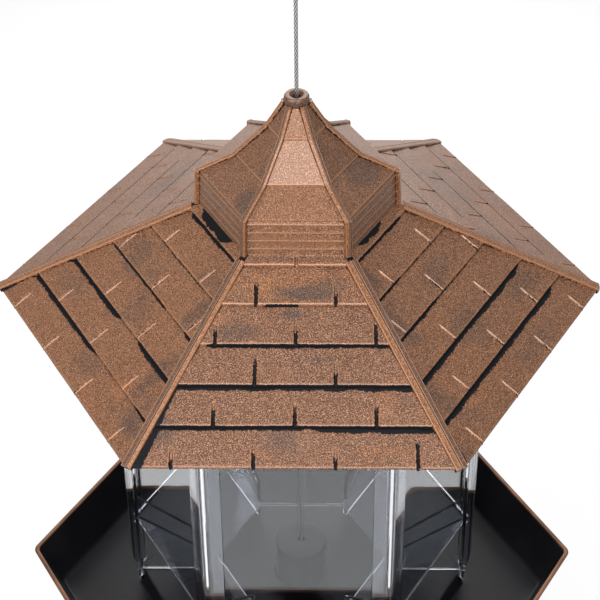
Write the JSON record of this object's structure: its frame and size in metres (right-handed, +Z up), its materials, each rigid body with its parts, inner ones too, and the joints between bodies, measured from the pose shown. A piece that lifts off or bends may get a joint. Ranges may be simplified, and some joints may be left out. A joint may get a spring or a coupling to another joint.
{
  "type": "hanging bird feeder",
  "caption": "Hexagonal hanging seed feeder: shingled pagoda roof with a cupola slides up a wire cable over a clear hopper that stands in a rimmed tray.",
  "frame": {"origin": "where a hook bears inside the cable's loop, at the top", "axes": "+Z up along the cable and the hopper's axis; hexagon corners point along +X and -X; -Y is the side that faces the viewer"},
  "size_m": [0.3024, 0.2632, 0.4618],
  "materials": {
    "copper_paint": "brushed copper paint over black moulded plastic, dark in the grooves",
    "clear_plastic": "clear moulded plastic, polished",
    "black_plastic": "black moulded plastic, satin, with a copper painted rim",
    "wire_rope": "twisted stainless wire rope",
    "crimp_metal": "crimped bare metal"
  },
  "bodies": {
    "base": {"tray": "black_plastic", "corner_post_1": "clear_plastic", "corner_post_2": "clear_plastic", "corner_post_3": "clear_plastic", "corner_post_4": "clear_plastic", "corner_post_5": "clear_plastic", "corner_post_6": "clear_plastic", "hopper_panel_1": "clear_plastic", "hopper_panel_2": "clear_plastic", "hopper_panel_3": "clear_plastic", "hopper_panel_4": "clear_plastic", "hopper_panel_5": "clear_plastic", "hopper_panel_6": "clear_plastic", "seed_funnel": "clear_plastic", "hanging_cable": "wire_rope", "loop_ferrule": "crimp_metal", "stop_washer": "crimp_metal", "stop_ferrule": "crimp_metal"},
    "roof": {"roof_shell": "copper_paint", "cupola": "copper_paint", "collar_ring": "copper_paint"}
  },
  "joints": [
    {"name": "roof_lift", "type": "slide", "parent": "base", "child": "roof", "axis": [0, 0, 1], "range_m": [0, 0.075]}
  ]
}
